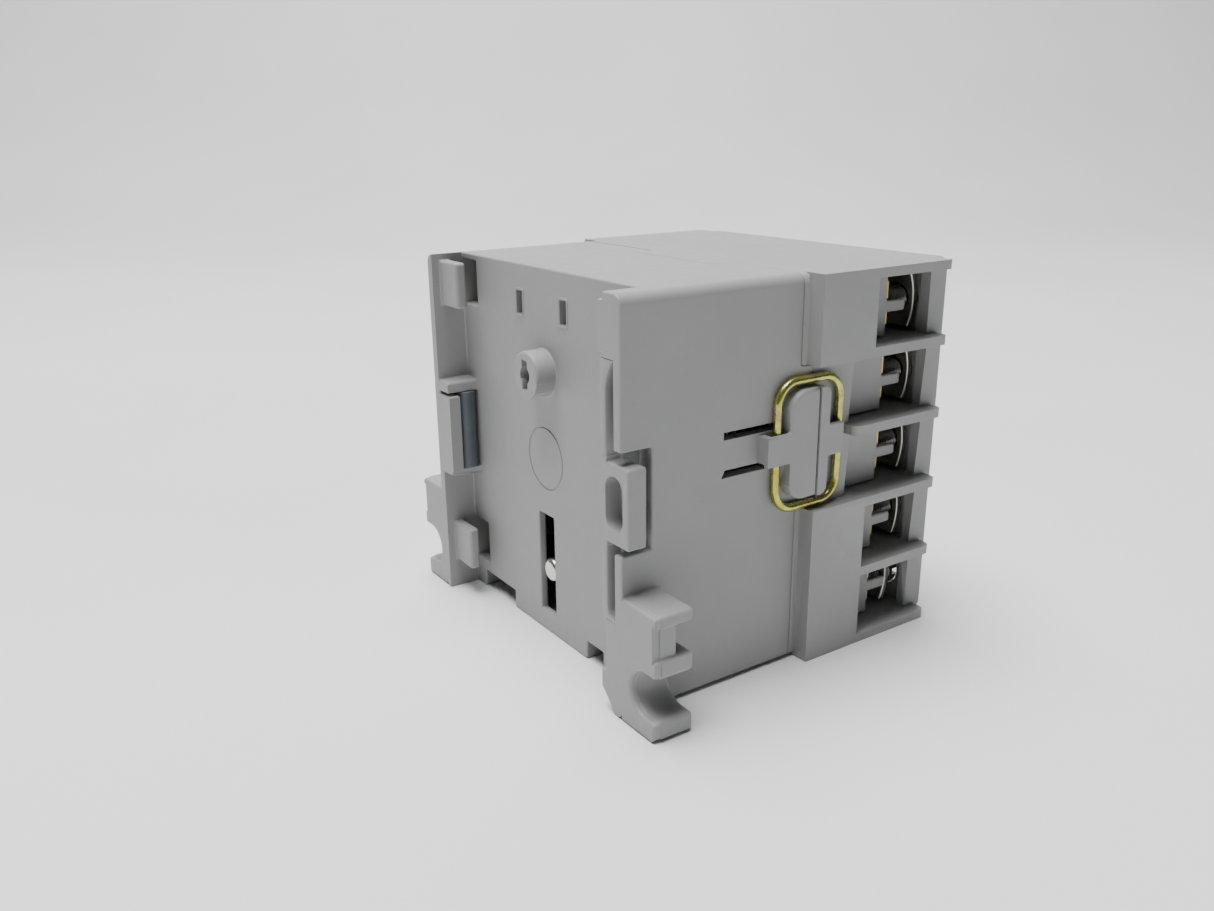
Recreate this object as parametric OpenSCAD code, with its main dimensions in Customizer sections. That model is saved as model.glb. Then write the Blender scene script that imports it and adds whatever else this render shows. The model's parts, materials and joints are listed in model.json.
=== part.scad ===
// Miniature contactor for a 35 mm rail, lying on its side.
// X runs from the rail to the front, Y along the length, Z across the five bays.
// The origin is the middle of the rail seat. "Near" is the -Y end, "far" the +Y end.

/* [Body] */
// Width across the five terminal bays
body_w = 45; // [44.8:0.1:45.6]
// Length from end face to end face
body_l = 42.2; // [42:0.1:43]
// Distance from the rail's centre line to the near end face
near_reach = 20.6; // [20.5:0.1:20.8]
// Rail seat to the seam between the two housings
seam_x = 19.5; // [19:0.1:19.8]
// Rail seat to the front face
front_x = 42.4; // [42.3:0.1:44]
// Wall thickness of the housings
wall = 1.5; // [1.4:0.1:1.6]
// Radius of the long outer edges
edge_r = 1.2; // [0.6:0.1:1.4]

/* [Rail foot] */
// Depth of the flanges behind the rail seat
flange_d = 4.25; // [4.2:0.05:4.6]
// Width of the rail that the foot grips
rail_w = 35; // [34.8:0.1:35]
// Thickness of the outer wall beside the latch
latch_wall = 1.3; // [1.1:0.1:1.4]
// Height of the fixed hooks across the width
hook_h = 5.6; // [4:0.1:6]
// Distance between the two lug screws
lug_spacing = 50; // [49.6:0.1:50.4]
// Width of the open slot in each lug
lug_slot = 4.8; // [4.3:0.1:5]

/* [Terminals] */
// Thickness of the ribs between bays
rib_t = 1.1; // [0.9:0.1:1.2]
// How far the terminal ribs stand out from each end face
terminal_out = 1.9; // [1.7:0.1:2.2]
// Radius of a terminal screw's shank
screw_r = 1.45; // [1.3:0.05:1.45]
// Radius of a terminal screw's head
head_r = 2.2; // [2:0.1:2.2]
// Travel of a terminal screw with its clamp, from fully open
screw_travel = 3.5; // [2.5:0.1:3.5]

/* [Drive] */
// Travel of the contact carrier
stroke = 3; // [2.5:0.1:3]
// Thickness of the core stack
stack_t = 11; // [9:0.5:11]
// Length of the core across its three legs
core_l = 28; // [27:0.5:28]

/* [Ring] */
// Wire diameter of the retaining rings
wire_d = 0.95; // [0.8:0.05:1]
// Outer height of a retaining ring
ring_h = 15.3; // [15:0.1:15.6]
// Outer width of a retaining ring
ring_w = 10.2; // [10:0.05:10.4]

/* [Hidden] */
$fn = 48;
bays = 5;
gap = 0.05;
half_w = body_w / 2;
near_y = -near_reach;
far_y = near_y + body_l;
mid_y = (near_y + far_y) / 2;
rail_y = rail_w / 2;
pitch = (body_w - rib_t) / bays;
function rib_z(j) = -half_w + rib_t / 2 + j * pitch;
function bay_z(i) = rib_z(i) + pitch / 2;

// Rail foot
stop_y = -rail_y - gap;
lip_y = -rail_y + 0.8;
lip_x = -1.9;
lip_zs = [[16.5, 21.7], [-21.5, -17.9]];
far_inner_y = far_y - 1.2;
hook_tip_y = rail_y - 1.6;
hook_x = [-3.2, -1.8];
hook_zs = [18.9, -15.8];
latch_z = [-11.65, 16];
beam_x = -2.5;
beam_y = [-18, -17.1];
foot_y = [-18.55, stop_y - 0.02];
block_z = [-3, 5.6];
block_x = -1.85;
block_out = 1.2;
grip_y = [-20.9, -17.85];
grip_z = [-1.5, 4.35];
notch_z = [-3.9, 7];
holder_bars = [[-5.9, -5.1], [5.2, 6.6]];
pad_x = [-2.7, -0.12];
pad_travel = 1;
boss_at = [0.8, 10.6];
boss_r = 2.75;
boss_h = 2.6;
window_y = [-0.3, 3.1];
window_z = [-19.9, -7];
window_wall = 1;
vent_ys = [6, -3.6];
vent_half = 0.7;
vent_z = [16.6, 19.4];
mark_at = [1.1, 0.2];
mark_r = [3.65, 3.9];
edge_notches = [[10, 18.1], [-10.6, -7.2]];
edge_notch_z = -20.2;
tab_x = 16.7;
tab_y = [-8.9, 6.6];

// Lugs
lug_y = near_y - 5.75;
lug_x = 0.7;
lug_top = -8.4;
lug_bottom = -22.3;
lug_screw_y = mid_y - lug_spacing / 2;
lug_screw_z = -17.75;

// Ring, its boss and the tongue beside it
ring_at = [20.4, 4];
ring_r = 3;
ring_lift = 0.05;
ring_y = near_y - ring_lift - wire_d / 2;
boss_seam_x = 21.15;
bar_x = [16.9, 22.6];
bar_z = 4.1;
bar_half = 6.2;
bar_out = 1.6;
strap_x = [13.65, 24.95];
strap_half = [1.65, 1.85];
tongue_z = 4.4;
tongue_half = 1.65;
tongue_x = 8.8;
slot_t = 0.87;

// Terminal bays
term_y = near_y - terminal_out;
plate_y = near_y + 1.6;
block_end_x = 28.8;
plate_x = [26.1, 34.2];
tongue_end_x = 37.3;
tongue_t = 1.36;
tongue_depth = 0.6;
tongue_drop = 0.3;
front_wall_x = 39.5;
pocket_end_x = 40.35;
rib_start_x = 20.4;
rib_end_x = 41.2;
rib_tip_r = 0.95;
slit_t = 0.25;
bead_x = 27.4;
pocket_y = -13.6;
screw_y = -15.95;
hole_r = head_r + 0.1;
head_h = 1.8;
shank_l = 6.35;
clamp_t = 0.8;
clamp_half = 3.2;
clamp_sag = 0.7;
clamp_y = [-18.3, -13.75];
contact_t = 0.9;
// The head's underside with the clamp down on the contact, and as it stands open; bay 0 is less open
low_head_x = plate_x[1] + contact_t + clamp_sag + clamp_t + 3 * gap;
function head_x(i) = low_head_x + (i == 0 ? 2.15 : screw_travel);

// Contact chamber and contacts
chamber_x = 27.95;
chamber_y = [-12.6, 13.6];
chamber_half = 21.2;
cover_x = 40.4;
cover_y = [-12.9, 13.9];
cover_half = 21.65;
label_y = [4.5, 12.5];
label_half = 15;
label_t = 0.5;
contact_w = 5.2;
contact_y = [-18.3, -8.4];
riser_y = -12.55;
lower_x = 28;
lower_t = 0.8;
tip_h = 0.8;
tip_r = 1.5;
tip_y = 10.4;
bridge_tip_h = 0.65;
bridge_tip_x = lower_x + lower_t + tip_h + stroke + gap;
bridge_x = bridge_tip_x + bridge_tip_h;
bridge_t = 0.8;
bridge_w = 4.2;
bridge_half = 12.1;
poles = [1, 2, 3, 4];

// Magnet
core_z = 4.35;
core_x = [2.2, 15];
yoke_t = 4.2;
outer_leg = 4.5;
centre_leg = 8;
armature_x = core_x[1] + stroke + 0.03;
armature_leg = 1.27;
armature_t = 4.05;
pin_r = 1;
pin_x = armature_x + armature_leg + 2;
pin_z = [core_z - 7.65, core_z + 7.65];
shade_x = [13.8, 14.7];
bobbin_x = [6.5, 13.7];
barrel = [0.15, 0.85];
flange_out = 4.1;
flange_t = 0.8;
winding_out = 3.5;
post_at = [1.5, -14.4];
post_r = 1.5;
post_x = 0.3;
strip_x = 2.6;
tail_y = -14.4;
tail_t = 0.75;
tail_half = 1.5;

// Contact carrier
carrier_x = [23.45, 40.35];
carrier_y = [mid_y - 5.7, mid_y + 5.7];
carrier_z = [-12.3, 21.1];
window_half = 2.5;
carrier_window_x = [bridge_x - gap, 38.3];
arm_t = 1.8;
arm_half = 2.5;
indicator_x = 42;
indicator_y = [-1, 2];
indicator_z = [0, 8.4];
spring_y = 16.4;
spring_z = 4.2;
spring_seat_x = 6;
spring_seat_r = 2.35;

ends = ["near", "far"];

// ---- Helpers ----

module box(lo, hi) translate(lo) cube(hi - lo);

// An outline drawn in Y and Z, extruded along X
module x_extrude(x0, x1) translate([x0, 0, 0]) rotate([90, 0, 90]) linear_extrude(x1 - x0) children();

// An outline drawn in X and Z, extruded along Y
module y_extrude(y0, y1) translate([0, y1, 0]) rotate([90, 0, 0]) linear_extrude(y1 - y0) children();

module x_cylinder(x0, x1, y, z, r) translate([x0, y, z]) rotate([0, 90, 0]) cylinder(h = x1 - x0, r = r);

// A rectangle with four round corners
module round_rect(lo, hi, r) {
    translate([lo[0] + r, lo[1]]) square([hi[0] - lo[0] - 2 * r, hi[1] - lo[1]]);
    translate([lo[0], lo[1] + r]) square([hi[0] - lo[0], hi[1] - lo[1] - 2 * r]);
    for (x = [lo[0] + r, hi[0] - r], y = [lo[1] + r, hi[1] - r]) translate([x, y]) circle(r);
}

// The near end's shapes, or the same mirrored to the far end
module at_end(e) {
    if (e == "near") children();
    else translate([0, 2 * mid_y, 0]) mirror([0, 1, 0]) children();
}

module both_ends() for (e = ends) at_end(e) children();

// A round wire wound about the X axis, as one closed tube
module helix(x0, x1, r, wire_r, turns) {
    steps = 14;
    sides = 6;
    rings = steps * turns;
    points = [
        for (i = [0 : rings], k = [0 : sides - 1])
            let (a = 360 * i / steps, b = 360 * k / sides, rr = r + wire_r * cos(b))
            [x0 + wire_r + (x1 - x0 - 2 * wire_r) * i / rings + wire_r * sin(b), rr * cos(a), rr * sin(a)]
    ];
    sidewalls = [
        for (i = [0 : rings - 1], k = [0 : sides - 1])
            let (n = (k + 1) % sides)
            [i * sides + k, i * sides + n, (i + 1) * sides + n, (i + 1) * sides + k]
    ];
    caps = [
        [for (k = [sides - 1 : -1 : 0]) k],
        [for (k = [0 : sides - 1]) rings * sides + k]
    ];
    polyhedron(points, concat(sidewalls, caps), convexity = 8);
}

// ---- Rear housing ----

module rail_hook(z)
    box([hook_x[0], hook_tip_y, z - hook_h / 2], [hook_x[1], far_inner_y + 0.1, z + hook_h / 2]);

// Chamfer at the near flange's bottom corner
module flange_chamfer()
    x_extrude(-flange_d - 1, 0) polygon([
        [lip_y + 0.1, -19.8], [lip_y + 0.1, -half_w - 1], [near_y + 1, -half_w - 1], [near_y + 1.6, -22.1]
    ]);

module near_lips() difference() {
    for (z = lip_zs) box([-flange_d, stop_y - 0.1, z[0]], [lip_x, lip_y, z[1]]);
    flange_chamfer();
}

module spring_holder() {
    for (z = holder_bars)
        box([-flange_d, rail_y + 0.4, z[0]], [0.1, far_inner_y + 0.1, z[1]]);
    // The plate stops short of the upper bar
    box([-flange_d, rail_y + gap, holder_bars[0][1] - 0.1],
        [pad_x[0] - gap, far_inner_y + 0.1, holder_bars[1][0] - 0.4]);
}

module rear_boss() x_cylinder(-boss_h, 0.1, boss_at[0], boss_at[1], boss_r);

module keyhole() {
    blade = [0.6, 1.75];
    box([-boss_h - 1, boss_at[0] - blade[0], boss_at[1] - blade[1]],
        [wall + 1, boss_at[0] + blade[0], boss_at[1] + blade[1]]);
    x_cylinder(-boss_h - 1, wall + 1, boss_at[0], boss_at[1], 1.05);
}

module lug() {
    difference() {
        union() {
            box([-flange_d, lug_y, lug_bottom], [lug_x, near_y + 0.1, lug_screw_z + lug_slot / 2 + 2.1]);
            box([-flange_d, lug_y + 0.4, lug_bottom], [-1.3, near_y + 0.1, lug_top]);
            box([-flange_d, lug_y, lug_top - 1.3], [lug_x, near_y + 0.1, lug_top]);
        }
        x_cylinder(-flange_d - 1, lug_x + 1, lug_screw_y, lug_screw_z, lug_slot / 2);
        box([-flange_d - 1, lug_y - 1, lug_screw_z - lug_slot / 2],
            [lug_x + 1, lug_screw_y, lug_screw_z + lug_slot / 2]);
    }
}

// The rear half of the boss inside the ring, with the left arm bridging the wire
module ring_boss_rear() {
    y0 = near_y - bar_out;
    z = bar_z;
    intersection() {
        y_extrude(y0, near_y + 0.1) round_rect([bar_x[0], z - bar_half], [front_x, z + bar_half], 2.3);
        box([0, y0 - 1, -half_w], [boss_seam_x, near_y + 1, half_w]);
    }
    box([strap_x[0], y0, z - strap_half[0]], [bar_x[0] + 0.5, near_y - 1.05, z + strap_half[0]]);
    box([strap_x[0], y0, z - strap_half[0]], [strap_x[0] + 0.85, near_y + 0.1, z + strap_half[0]]);
}

module tongue_slots() {
    for (z = [tongue_z + tongue_half, tongue_z - tongue_half - slot_t])
        box([tongue_x, near_y - 1, z], [bar_x[0] - 0.1, near_y + wall + 1, z + slot_t]);
}

module base_walls() {
    x_extrude(-flange_d, seam_x) round_rect([near_y, -half_w], [far_y, half_w], edge_r);
    both_ends() {
        box([seam_x - 0.1, near_y, rib_z(2) + rib_t / 2 + gap],
            [boss_seam_x, near_y + wall, rib_z(4) - rib_t / 2 - gap]);
        ring_boss_rear();
        lug();
    }
    rear_boss();
}

module base_cuts() {
    // Inside
    box([wall, near_y + wall, -half_w + wall], [seam_x + 1, far_y - wall, half_w - wall]);
    // Rail channel, and the pocket that the latch moves in
    difference() {
        box([-flange_d - 1, stop_y, -half_w - 1], [0, far_inner_y, half_w + 1]);
        rear_boss();
    }
    box([-flange_d - 1, near_y + latch_wall, latch_z[0]], [beam_x - 0.2, stop_y + 1, latch_z[1]]);
    box([beam_x - 0.21, near_y + 0.8, latch_z[0]], [0, stop_y + 1, latch_z[1]]);
    box([-flange_d - 1, near_y - 1, notch_z[0]], [-0.45, near_y + latch_wall + 1, notch_z[1]]);
    flange_chamfer();
    // Openings in the rear wall
    for (z = hook_zs)
        box([-1, hook_tip_y + 0.9, z - hook_h / 2], [wall + 1, far_inner_y, z + hook_h / 2]);
    for (y = vent_ys) box([-1, y - vent_half, vent_z[0]], [wall + 1, y + vent_half, vent_z[1]]);
    box([-1, window_y[0], window_z[0]], [wall + 1, window_y[1], window_z[1]]);
    // The wall is thinner round the window
    box([window_wall, window_y[0] - 0.8, window_z[0] - 0.8], [wall + 0.1, window_y[1] + 0.8, window_z[1] + 0.8]);
    keyhole();
    difference() {
        x_cylinder(-1, 0.12, mark_at[0], mark_at[1], mark_r[1]);
        x_cylinder(-2, 1, mark_at[0], mark_at[1], mark_r[0]);
    }
    // Notches along the bottom edge
    for (y = edge_notches)
        box([-1, y[0], -half_w - 1], [4, y[1], edge_notch_z]);
    // Room for the front housing's tabs
    for (z = [half_w - wall - 1, -half_w - 1])
        box([tab_x, tab_y[0], z], [seam_x + 1, tab_y[1], z + wall + 2]);
    both_ends() tongue_slots();
}

module base_inside() {
    both_ends() x_cylinder(wall - 0.1, spring_seat_x, mid_y - spring_y, spring_z, spring_seat_r);
    guide = stack_t / 2 + 0.1;
    both_ends() for (z = [core_z - guide - 1.1, core_z + guide])
        box([wall - 0.1, mid_y - 12, z], [7, mid_y - 9.6, z + 1.1]);
}

module base_housing() color("lightgray") {
    difference() {
        base_walls();
        base_cuts();
    }
    for (z = hook_zs) rail_hook(z);
    near_lips();
    spring_holder();
    base_inside();
}

module rail_latch() color("lightgray") {
    z = [latch_z[0] + gap, latch_z[1] - gap];
    difference() {
        union() {
            box([-flange_d, beam_y[0], z[0]], [beam_x, beam_y[1], z[1]]);
            box([beam_x - 0.1, foot_y[0], z[0]], [-0.3, foot_y[1], z[1]]);
            box([-flange_d, near_y - block_out, block_z[0]], [block_x, beam_y[0] + 0.1, block_z[1]]);
        }
        x_extrude(-flange_d - 1, -flange_d + 1.9)
            round_rect([grip_y[0], grip_z[0]], [grip_y[1], grip_z[1]], 1.45);
    }
}

module rail_spring_pad() color("slategray") {
    z = [holder_bars[0][1] + gap, holder_bars[1][0] - gap];
    nose_r = (pad_x[1] - pad_x[0]) / 2;
    back_y = far_inner_y - pad_travel - 0.1;
    difference() {
        translate([pad_x[0] + nose_r, rail_y + nose_r, z[0]]) cylinder(h = z[1] - z[0], r = nose_r);
        box([pad_x[0] - 1, back_y - 0.1, z[0] - 1], [pad_x[1] + 1, far_y, z[1] + 1]);
    }
    box([pad_x[0], rail_y + nose_r, z[0]], [pad_x[1], back_y, z[1]]);
}

// ---- Front housing ----

// The walls and ribs of the near terminals
module terminal_walls() {
    for (z = [[-half_w, rib_z(2) + rib_t / 2], [rib_z(4) - rib_t / 2, half_w]])
        box([rib_start_x, term_y, z[0]], [block_end_x, near_y + edge_r, z[1]]);
    for (j = [0 : bays])
        translate([0, 0, rib_z(j) - rib_t / 2]) linear_extrude(rib_t) terminal_rib(j);
}

// A rib's outline, round at its front end; the rib beside the ring is round at both ends
module terminal_rib(j) {
    round_rect([plate_x[0] + 0.5, term_y], [rib_end_x, near_y + 3], rib_tip_r);
    if (j != 3) translate([rib_start_x, term_y]) square([10, terminal_out + 3]);
}

// The front half of the boss inside the ring, with the right arm over the wire
module ring_boss_front() {
    y0 = near_y - bar_out;
    z = bar_z;
    intersection() {
        y_extrude(y0, near_y + 0.1) round_rect([bar_x[0], z - bar_half], [bar_x[1], z + bar_half], 1);
        box([boss_seam_x + gap, y0 - 1, -half_w], [bar_x[1] + 1, near_y + 1, half_w]);
    }
    box([bar_x[1] - 0.5, y0, z - strap_half[1]], [strap_x[1], near_y - 1.05, z + strap_half[1]]);
}

// A bay's room, with the wire guide left standing on the plate
module bay_room(i) {
    clear_half = pitch / 2 - rib_t / 2;
    z = [bay_z(i) - clear_half, bay_z(i) + clear_half];
    start_x = (i == 2 || i == 3) ? bead_x : block_end_x;
    guide_z = bay_z(i) - tongue_drop;
    difference() {
        union() {
            box([start_x, term_y - 1, z[0]], [front_wall_x, plate_y, z[1]]);
            box([plate_x[1], plate_y - 0.1, z[0]], [front_wall_x, pocket_y, z[1]]);
            box([front_wall_x - 0.1, plate_y - 0.1, z[0]], [pocket_end_x, pocket_y, z[1]]);
        }
        box([plate_x[1] - 0.1, plate_y, guide_z - tongue_t / 2],
            [tongue_end_x, plate_y + tongue_depth, guide_z + tongue_t / 2]);
    }
    // Slits between the plate and the ribs
    for (s = (i == bays - 1) ? [0, 1] : [0])
        box([start_x, plate_y - 0.1, z[s] - s * slit_t],
            [plate_x[1] + 0.1, plate_y + 1.4, z[s] + (1 - s) * slit_t]);
}

module terminal_cuts() {
    for (i = [0 : bays - 1]) {
        bay_room(i);
        x_cylinder(low_head_x - shank_l - 0.3, plate_x[1] + 1, screw_y, bay_z(i), screw_r + 0.35);
        x_cylinder(pocket_end_x - 1, front_x + 1, screw_y, bay_z(i), hole_r);
    }
    for (p = poles) {
        z = bay_z(p);
        slot = contact_w / 2 + gap;
        box([lower_x - gap, riser_y - gap, z - slot], [chamber_x + 1, chamber_y[0] + 1, z + slot]);
        box([plate_x[1], pocket_y - 1, z - slot],
            [plate_x[1] + contact_t + 0.2, chamber_y[0] + 1, z + slot]);
    }
    coil = bay_z(0);
    slot = tail_half + 0.1;
    box([seam_x, tail_y - 0.1, coil - slot], [plate_x[1] + 0.1, tail_y + tail_t + 0.1, coil + slot]);
}

module front_shell() {
    x_extrude(seam_x + gap, front_x) round_rect([near_y, -half_w], [far_y, half_w], edge_r);
    for (z = [half_w - wall, -half_w])
        box([tab_x + gap, tab_y[0] + gap, z], [seam_x + 1, tab_y[1] - gap, z + wall]);
}

module front_housing() color("silver") {
    difference() {
        union() {
            difference() {
                front_shell();
                // Room behind the floor of the contact chamber
                box([seam_x - 1, near_y + wall, -half_w + wall], [plate_x[0], far_y - wall, half_w - wall]);
                // Contact chamber
                for (i = [0 : bays - 1])
                    box([chamber_x, chamber_y[0], bay_z(i) - pitch / 2 + rib_t / 2],
                        [cover_x + 1, chamber_y[1], bay_z(i) + pitch / 2 - rib_t / 2]);
                box([chamber_x, carrier_y[0] - 0.5, -chamber_half],
                    [cover_x + 1, carrier_y[1] + 0.5, chamber_half]);
                // Recess for the cover
                box([cover_x, cover_y[0], -cover_half], [front_x + 1, cover_y[1], cover_half]);
            }
            both_ends() {
                terminal_walls();
                ring_boss_front();
            }
        }
        both_ends() {
            terminal_cuts();
            // Room for the rear housing's end of the boss
            box([seam_x - 1, near_y - 5, rib_z(2) + rib_t / 2],
                [boss_seam_x + gap, near_y + wall + gap, rib_z(4) - rib_t / 2]);
        }
        // Way through for the carrier
        box([seam_x, carrier_y[0] - 0.3, carrier_z[0] - 0.3],
            [chamber_x + 1, carrier_y[1] + 0.3, chamber_half]);
    }
}

module front_cover() color("whitesmoke") {
    difference() {
        box([cover_x + gap, cover_y[0] + gap, -cover_half + gap],
            [front_x, cover_y[1] - gap, cover_half - gap]);
        box([cover_x - 1, indicator_y[0] - 0.3, indicator_z[0] - 0.3],
            [front_x + 1, indicator_y[1] + 0.3, indicator_z[1] + 0.3]);
        box([front_x - label_t, label_y[0], -label_half], [front_x + 1, label_y[1], label_half]);
    }
}

module label_plate() color("white")
    box([front_x - label_t, label_y[0] + gap, gap - label_half],
        [front_x, label_y[1] - gap, label_half - gap]);

module retaining_ring(e) color("yellowgreen") at_end(e) {
    r = wire_d / 2;
    a = ring_w / 2 - ring_r;
    b = ring_h / 2 - ring_r;
    mean = ring_r - r;
    translate([ring_at[0], ring_y, ring_at[1]]) rotate([90, 0, 0]) {
        for (s = [-1, 1]) {
            translate([s * (ring_w / 2 - r), b, 0]) rotate([90, 0, 0]) cylinder(h = 2 * b, r = r);
            translate([-a, s * (ring_h / 2 - r), 0]) rotate([0, 90, 0]) cylinder(h = 2 * a, r = r);
        }
        for (k = [0 : 3])
            translate([(k == 0 || k == 3 ? a : -a), (k < 2 ? b : -b), 0])
                rotate([0, 0, 90 * k]) rotate_extrude(angle = 90) translate([mean, 0]) circle(r);
    }
}

// ---- Magnet ----

module core_box(x0, x1, y0, y1)
    box([x0, mid_y + y0, core_z - stack_t / 2], [x1, mid_y + y1, core_z + stack_t / 2]);

module three_legs(x0, x1) {
    core_box(x0, x1, -core_l / 2, -core_l / 2 + outer_leg);
    core_box(x0, x1, -centre_leg / 2, centre_leg / 2);
    core_box(x0, x1, core_l / 2 - outer_leg, core_l / 2);
}

module fixed_core() color("dimgray") {
    difference() {
        union() {
            core_box(core_x[0], core_x[0] + yoke_t, -core_l / 2, core_l / 2);
            three_legs(core_x[0] + yoke_t - 0.1, core_x[1]);
        }
        both_ends() box([shade_x[0] - 0.1, mid_y - core_l / 2 + 1.3, -half_w],
                        [core_x[1] + 1, mid_y - core_l / 2 + 2.3, half_w]);
    }
}

module shading_ring(e) color("peru") at_end(e) {
    groove = mid_y - core_l / 2 + 1.35;
    inner = mid_y - core_l / 2 + outer_leg + gap;
    z = stack_t / 2;
    difference() {
        box([shade_x[0], groove, core_z - z - 0.95], [shade_x[1], inner + 0.85, core_z + z + 0.95]);
        box([shade_x[0] - 1, groove + 0.9, core_z - z - gap], [shade_x[1] + 1, inner, core_z + z + gap]);
    }
}

module core_buffers() color("black")
    both_ends() box([wall + gap, mid_y - 13, core_z - 4.5], [core_x[0] - gap, mid_y - 9, core_z + 4.5]);

module tube_about_core(x0, x1, inner, outer) {
    y = centre_leg / 2;
    z = stack_t / 2;
    difference() {
        box([x0, mid_y - y - outer, core_z - z - outer], [x1, mid_y + y + outer, core_z + z + outer]);
        box([x0 - 1, mid_y - y - inner, core_z - z - inner],
            [x1 + 1, mid_y + y + inner, core_z + z + inner]);
    }
}

module coil_bobbin() color("ivory") {
    tube_about_core(bobbin_x[0], bobbin_x[1], barrel[0], barrel[1]);
    for (x = [bobbin_x[0], bobbin_x[1] - flange_t])
        tube_about_core(x, x + flange_t, barrel[1] - 0.1, flange_out);
}

module coil_winding() color("darkorange")
    tube_about_core(bobbin_x[0] + flange_t + gap, bobbin_x[1] - flange_t - gap,
                    barrel[1] + gap, winding_out);

module coil_terminal(e) color("silver") at_end(e) {
    z = [bay_z(0) - tail_half, bay_z(0) + tail_half];
    front = plate_x[1] + gap + contact_t;
    strip = [strip_x, strip_x + tail_t];
    turn_y = [-8, -7];
    difference() {
        box([front - contact_t, clamp_y[0], bay_z(0) - contact_w / 2],
            [front, tail_y + tail_t, bay_z(0) + contact_w / 2]);
        x_cylinder(front - 2, front + 1, screw_y, bay_z(0), screw_r + 0.04);
    }
    box([strip[0], tail_y, z[0]], [front, tail_y + tail_t, z[1]]);
    box([strip[0], tail_y, z[0]], [strip[1], turn_y[1], z[1]]);
    // Up to the coil's end, just below the bobbin
    box([strip[0], turn_y[0], z[0]], [strip[1], turn_y[1], core_z - stack_t / 2 - flange_out - 0.4]);
    // The near terminal's post shows in the rear window
    if (e == "near") {
        box([strip[0], turn_y[0], post_at[1] - post_r], [strip[1], post_at[0] + post_r, post_at[1] + post_r]);
        x_cylinder(post_x, strip[0] + 0.1, post_at[0], post_at[1], post_r);
    }
}

// ---- Moving parts ----

module armature() color("dimgray") {
    difference() {
        union() {
            three_legs(armature_x, armature_x + armature_leg + 0.1);
            core_box(armature_x + armature_leg, armature_x + armature_leg + armature_t,
                     -core_l / 2, core_l / 2);
        }
        translate([pin_x, mid_y, -half_w]) cylinder(h = body_w, r = pin_r + 0.03);
    }
}

module armature_pin() color("silver")
    translate([pin_x, mid_y, pin_z[0]]) cylinder(h = pin_z[1] - pin_z[0], r = pin_r);

module contact_carrier() color("gray") {
    cheek = stack_t / 2 + 0.15;
    difference() {
        union() {
            box([carrier_x[0], carrier_y[0], carrier_z[0]],
                [carrier_x[1], carrier_y[1], carrier_z[1]]);
            for (z = [core_z - cheek - 2.1, core_z + cheek])
                box([pin_x - 1.8, mid_y - 4, z], [carrier_x[0] + 0.1, mid_y + 4, z + 2.1]);
            box([carrier_x[0], mid_y - spring_y - 2.5, spring_z - arm_half],
                [carrier_x[0] + arm_t, mid_y + spring_y + 2.5, spring_z + arm_half]);
            box([carrier_x[1] - 0.1, indicator_y[0], indicator_z[0]],
                [indicator_x, indicator_y[1], indicator_z[1]]);
        }
        for (p = poles)
            box([carrier_window_x[0], -half_w, bay_z(p) - window_half],
                [carrier_window_x[1], half_w, bay_z(p) + window_half]);
        translate([pin_x, mid_y, -half_w]) cylinder(h = body_w, r = pin_r + 0.03);
    }
}

module return_springs() color("silver")
    both_ends() translate([0, mid_y - spring_y, spring_z])
        helix(spring_seat_x + gap, carrier_x[0] - gap, 1.9, 0.25, 8);

module contact_springs() color("silver")
    for (p = poles) translate([0, mid_y, bay_z(p)])
        helix(bridge_x + bridge_t + gap, carrier_window_x[1] - gap, 1.45, 0.2, 4);

module contact_bridge(p) color("goldenrod")
    box([bridge_x, mid_y - bridge_half, bay_z(p) - bridge_w / 2],
        [bridge_x + bridge_t, mid_y + bridge_half, bay_z(p) + bridge_w / 2]);

module moving_tips() color("white")
    for (p = poles, s = [-1, 1])
        x_cylinder(bridge_tip_x, bridge_x, mid_y + s * tip_y, bay_z(p), tip_r);

module fixed_tips() color("white")
    for (p = poles, s = [-1, 1])
        x_cylinder(lower_x + lower_t, lower_x + lower_t + tip_h, mid_y + s * tip_y, bay_z(p), tip_r);

// ---- Terminals ----

module fixed_contact(e, p) color("goldenrod") at_end(e) {
    z = [bay_z(p) - contact_w / 2, bay_z(p) + contact_w / 2];
    top = plate_x[1] + gap + contact_t;
    difference() {
        box([top - contact_t, contact_y[0], z[0]], [top, riser_y + 0.8, z[1]]);
        x_cylinder(top - 2, top + 1, screw_y, bay_z(p), screw_r + 0.04);
    }
    box([lower_x, riser_y, z[0]], [top, riser_y + 0.8, z[1]]);
    box([lower_x, riser_y, z[0]], [lower_x + lower_t, contact_y[1], z[1]]);
}

// A saddle washer, bowed towards the screw head
module terminal_clamp(e, i) color("silver") at_end(e) {
    bow_r = (clamp_half * clamp_half + clamp_sag * clamp_sag) / (2 * clamp_sag);
    head = head_x(i);
    x = head - gap - bow_r;
    difference() {
        intersection() {
            y_extrude(clamp_y[0], clamp_y[1]) difference() {
                translate([x, bay_z(i)]) circle(bow_r, $fn = 96);
                translate([x, bay_z(i)]) circle(bow_r - clamp_t, $fn = 96);
            }
            box([x, clamp_y[0] - 1, bay_z(i) - clamp_half],
                [head, clamp_y[1] + 1, bay_z(i) + clamp_half]);
        }
        x_cylinder(x, head + 1, screw_y, bay_z(i), screw_r + 0.1);
    }
}

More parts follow.
